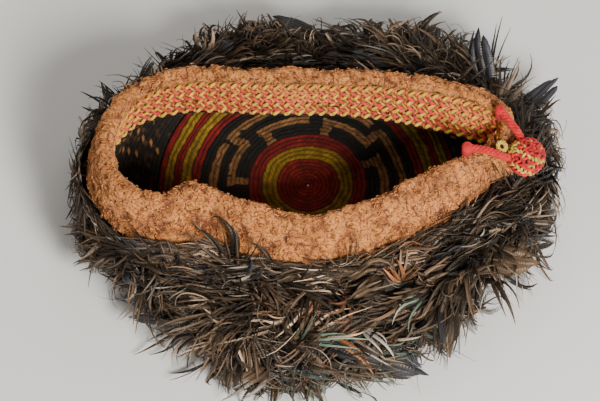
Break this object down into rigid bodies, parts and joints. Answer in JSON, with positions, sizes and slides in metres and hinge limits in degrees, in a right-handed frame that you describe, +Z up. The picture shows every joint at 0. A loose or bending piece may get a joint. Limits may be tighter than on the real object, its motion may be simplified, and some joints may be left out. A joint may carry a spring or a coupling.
{
  "type": "feather-covered cap",
  "caption": "Soft pillbox cap lying upturned: coiled yarn crown, woven lining, pile headband with a knotted tie, and courses of dark feathers tied all over the outside",
  "frame": {"origin": "middle of the cap's footprint on the table it lies on, upturned, tie left out", "axes": "+Z up out of the opening, +X along the long way of the opening towards the slit and tie, +Y towards the upright side of the headband"},
  "size_m": [0.29, 0.2513, 0.0926],
  "materials": {
    "dark_red_yarn": "coiled and stitched yarn, dull",
    "olive_yarn": "coiled and stitched yarn, dull",
    "black_yarn": "coiled and stitched black-brown yarn",
    "tan_yarn": "undyed tan yarn",
    "lining_weave": "twined red and yellow yarn in alternate slants",
    "terracotta_pile": "short looped and cut pile, matted",
    "feathers": "dark split feathers with a soft gloss",
    "red_cord": "twisted coral-red cord",
    "knob_yarn": "plaited red and yellow yarn knot",
    "yellow_cord": "yellow yarn loop"
  },
  "bodies": {
    "cap": {"crown_centre_coils": "dark_red_yarn", "crown_yellow_ring": "olive_yarn", "crown_inner_red_ring": "dark_red_yarn", "crown_black_field": "black_yarn", "crown_key_pattern": "tan_yarn", "crown_stripe_1": "dark_red_yarn", "crown_stripe_2": "olive_yarn", "crown_stripe_3": "dark_red_yarn", "crown_stripe_4": "olive_yarn", "crown_stripe_5": "dark_red_yarn", "wall_lower_coils": "black_yarn", "wall_middle_coils": "black_yarn", "wall_upper_coils": "black_yarn", "wall_stitches": "tan_yarn", "headband_lining": "lining_weave", "headband_pile": "terracotta_pile", "headband_rim_roll": "terracotta_pile", "headband_end_tab": "terracotta_pile", "quill_bindings": "tan_yarn", "feather_crown_pad": "feathers", "feather_course_1": "feathers", "feather_course_2": "feathers", "feather_course_3": "feathers", "feather_course_4": "feathers", "feather_course_5": "feathers", "feather_course_6": "feathers", "tie_anchor_far": "red_cord", "tie_anchor_near": "red_cord"},
    "tie": {"tie_cord_far": "red_cord", "tie_cord_near": "red_cord", "tie_knob": "knob_yarn", "tie_knob_loop": "yellow_cord"}
  },
  "joints": [
    {"name": "tie_swing", "type": "hinge", "parent": "cap", "child": "tie", "pos_m": [0.0992, 0.0108, 0.083], "axis": [-0.6097, -0.7926, 0], "range_deg": [0, 110]}
  ]
}
